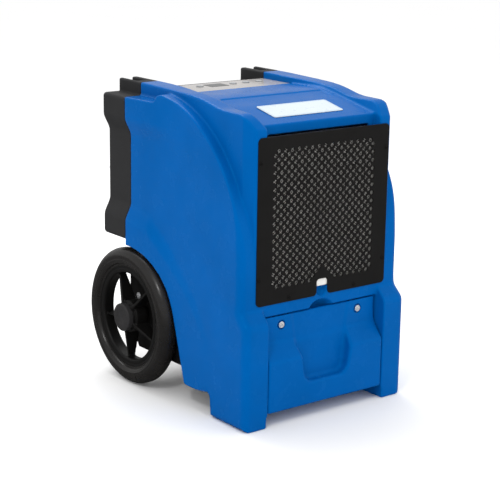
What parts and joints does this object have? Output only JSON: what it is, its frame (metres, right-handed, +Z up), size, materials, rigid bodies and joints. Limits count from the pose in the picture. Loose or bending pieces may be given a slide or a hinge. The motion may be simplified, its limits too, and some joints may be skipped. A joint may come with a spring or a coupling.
{
  "type": "portable dehumidifier",
  "caption": "Wheeled restoration dehumidifier: moulded casing over a refrigerant circuit, with a slide-out inlet filter, screwed service cover, control panel and ducted fan.",
  "frame": {"origin": "on the floor, under the middle of the whole machine", "axes": "+X to the right seen from the air inlet, the air inlet faces -Y, +Z up"},
  "size_m": [0.498, 0.56, 0.666],
  "materials": {
    "blue_shell": "rotomoulded polyethylene, satin",
    "grey_shell": "rotomoulded polyethylene, matte",
    "black_steel": "powder coat, fine texture",
    "black_plastic": "moulded, matte",
    "hub_plastic": "moulded, satin",
    "tyre": "matte rubber",
    "zinc_steel": "zinc plated",
    "mesh_metal": "expanded metal",
    "filter_plastic": "moulded, white",
    "filter_foam": "open-cell pad",
    "plate_white": "blank printed film",
    "panel_film": "overlay film, gloss",
    "display": "tinted window",
    "button_grey": "silicone key",
    "board": "solder mask",
    "galvanised": "galvanised sheet",
    "fins": "coil fins",
    "copper": "bright tube",
    "compressor_black": "gloss enamel",
    "rubber": "matte",
    "tank_plastic": "translucent white",
    "pump_grey": "moulded",
    "float_yellow": "foamed plastic",
    "cord_black": "cord sheath",
    "nylon": "nylon"
  },
  "bodies": {
    "cabinet": {"accumulator": "copper", "axle": "zinc_steel", "axle_brackets": "black_steel", "axle_nuts": "zinc_steel", "axle_washers": "zinc_steel", "bracket_bolts": "zinc_steel", "bypass_valve": "copper", "chassis_pan": "black_steel", "compressor": "compressor_black", "compressor_mounts": "rubber", "condensate_pump": "pump_grey", "condensate_tank": "tank_plastic", "condenser_coil": "fins", "control_board": "board", "control_panel": "panel_film", "cord_hooks": "black_plastic", "cover_screws": "zinc_steel", "deck_plate": "galvanised", "discharge_line": "copper", "display_window": "display", "drain_fitting": "black_plastic", "drain_hose": "rubber", "drip_tray": "pump_grey", "evaporator_coil": "fins", "fan_motor": "galvanised", "fan_shroud": "black_plastic", "filter_drier": "copper", "foot_pads": "rubber", "front_grille": "black_steel", "front_shell": "blue_shell", "grille_screws": "black_steel", "humidity_sensor": "nylon", "motor_bracket": "black_steel", "name_plate": "plate_white", "outlet_guard": "black_steel", "outlet_screws": "zinc_steel", "power_cord": "cord_black", "rear_shell": "grey_shell", "run_capacitor": "galvanised", "service_cover": "blue_shell", "shell_screws": "zinc_steel", "suction_line": "copper"},
    "wheel_left": {"tyre_left": "tyre", "wheel_rim_left": "black_plastic", "wheel_bush_left": "nylon", "hub_cap_left": "hub_plastic"},
    "wheel_right": {"tyre_right": "tyre", "wheel_rim_right": "black_plastic", "wheel_bush_right": "nylon", "hub_cap_right": "hub_plastic"},
    "filter": {"filter_frame": "filter_plastic", "filter_mesh": "mesh_metal", "filter_pad": "filter_foam"},
    "fan": {"fan_impeller": "black_plastic", "fan_shaft": "zinc_steel"},
    "power_button": {"power_button": "button_grey"},
    "mode_button": {"mode_button": "button_grey"},
    "down_button": {"down_button": "button_grey"},
    "up_button": {"up_button": "button_grey"},
    "pump_float": {"pump_float": "float_yellow"}
  },
  "joints": [
    {"name": "wheel_left_spin", "type": "hinge", "parent": "cabinet", "child": "wheel_left", "pos_m": [-0.217, 0.1276, 0.1524], "axis": [1, 0, 0], "continuous": true},
    {"name": "wheel_right_spin", "type": "hinge", "parent": "cabinet", "child": "wheel_right", "pos_m": [0.217, 0.1276, 0.1524], "axis": [1, 0, 0], "continuous": true},
    {"name": "fan_spin", "type": "hinge", "parent": "cabinet", "child": "fan", "pos_m": [0, 0.118, 0.482], "axis": [0, 1, 0], "continuous": true},
    {"name": "filter_slide", "type": "slide", "parent": "cabinet", "child": "filter", "axis": [0, 0, 1], "range_m": [0, 0.345]},
    {"name": "float_rise", "type": "slide", "parent": "cabinet", "child": "pump_float", "axis": [0, 0, 1], "range_m": [0, 0.045]},
    {"name": "power_press", "type": "slide", "parent": "cabinet", "child": "power_button", "axis": [0, 0, -1], "range_m": [0, 0.0015], "stiffness_N_per_m": 800},
    {"name": "mode_press", "type": "slide", "parent": "cabinet", "child": "mode_button", "axis": [0, 0, -1], "range_m": [0, 0.0015], "stiffness_N_per_m": 800},
    {"name": "down_press", "type": "slide", "parent": "cabinet", "child": "down_button", "axis": [0, 0, -1], "range_m": [0, 0.0015], "stiffness_N_per_m": 800},
    {"name": "up_press", "type": "slide", "parent": "cabinet", "child": "up_button", "axis": [0, 0, -1], "range_m": [0, 0.0015], "stiffness_N_per_m": 800}
  ]
}
